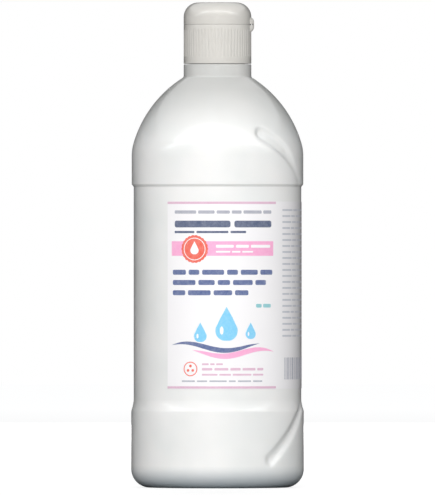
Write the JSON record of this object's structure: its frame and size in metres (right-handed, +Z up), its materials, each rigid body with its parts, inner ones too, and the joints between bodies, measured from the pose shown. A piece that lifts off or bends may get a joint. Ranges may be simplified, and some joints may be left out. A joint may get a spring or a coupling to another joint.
{
  "type": "contact lens solution bottle",
  "caption": "Round squeeze bottle with diagonal finger grooves, recessed wrap label, fluted screw closure with a hinged flip-top lid, neck plug and hanging stick.",
  "frame": {"origin": "on the standing plane, at the bottle's axis", "axes": "+Z up along the bottle's axis, the label's front faces -Y, the lid's hinge is on +X"},
  "size_m": [0.0694, 0.0694, 0.195],
  "materials": {
    "bottle_hdpe": "white high-density polyethylene, blow-moulded, satin",
    "plug_ldpe": "natural low-density polyethylene, milky",
    "stick_resin": "pale blue moulded resin, satin",
    "ring_foam": "white foamed polyethylene",
    "closure_pp": "warm white polypropylene, injection moulded, semi-gloss",
    "label_film": "printed white polypropylene film with a soft gloss"
  },
  "bodies": {
    "bottle_body": {"bottle": "bottle_hdpe", "neck_plug": "plug_ldpe", "antibacterial_stick": "stick_resin", "wrap_label": "label_film"},
    "seal_body": {"sealing_ring": "ring_foam"},
    "closure_body": {"closure_base": "closure_pp", "living_hinge": "closure_pp"},
    "lid_body": {"closure_lid": "closure_pp"}
  },
  "joints": [
    {"name": "closure_rise", "type": "slide", "parent": "bottle_body", "child": "seal_body", "axis": [0, 0, 1], "range_m": [0, 0.00476]},
    {"name": "closure_turn", "type": "hinge", "parent": "seal_body", "child": "closure_body", "pos_m": [0, 0, 0.178], "axis": [0, 0, 1], "range_deg": [0, 540]},
    {"name": "lid_flip", "type": "hinge", "parent": "closure_body", "child": "lid_body", "pos_m": [0.01455, 0, 0.18608], "axis": [0, 1, 0], "range_deg": [0, 165]}
  ],
  "couplings": [
    {"joint": "closure_rise", "follows": "closure_turn", "m_per_rad": 0.00050531}
  ]
}
